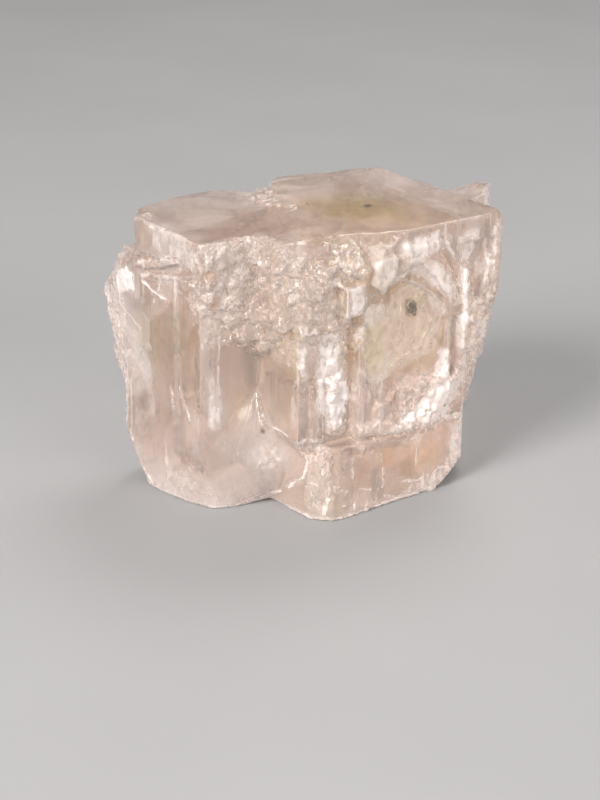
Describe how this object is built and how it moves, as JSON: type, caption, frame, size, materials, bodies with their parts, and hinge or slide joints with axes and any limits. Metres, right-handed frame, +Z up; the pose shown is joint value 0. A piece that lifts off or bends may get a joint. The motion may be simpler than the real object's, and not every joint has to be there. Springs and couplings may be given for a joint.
{
  "type": "fluorite specimen",
  "caption": "Clear cube-shaped fluorite crystals grown together in parallel, with flat faces, a pitted crust and broken edges, standing on a flat base.",
  "frame": {"origin": "middle of the bounding box's underside, on the surface that the specimen stands on", "axes": "+Z up; the display side, with the upright edges between the crystals' two front faces, looks along -Y; +X is to the right of someone who looks at it"},
  "size_m": [0.081, 0.0638, 0.0576],
  "materials": {
    "clear_fluorite": "glassy growth and cleavage faces, dull on the pitted crust and the breaks"
  },
  "bodies": {
    "root": {"fluorite_crystals": "clear_fluorite"}
  },
  "joints": []
}
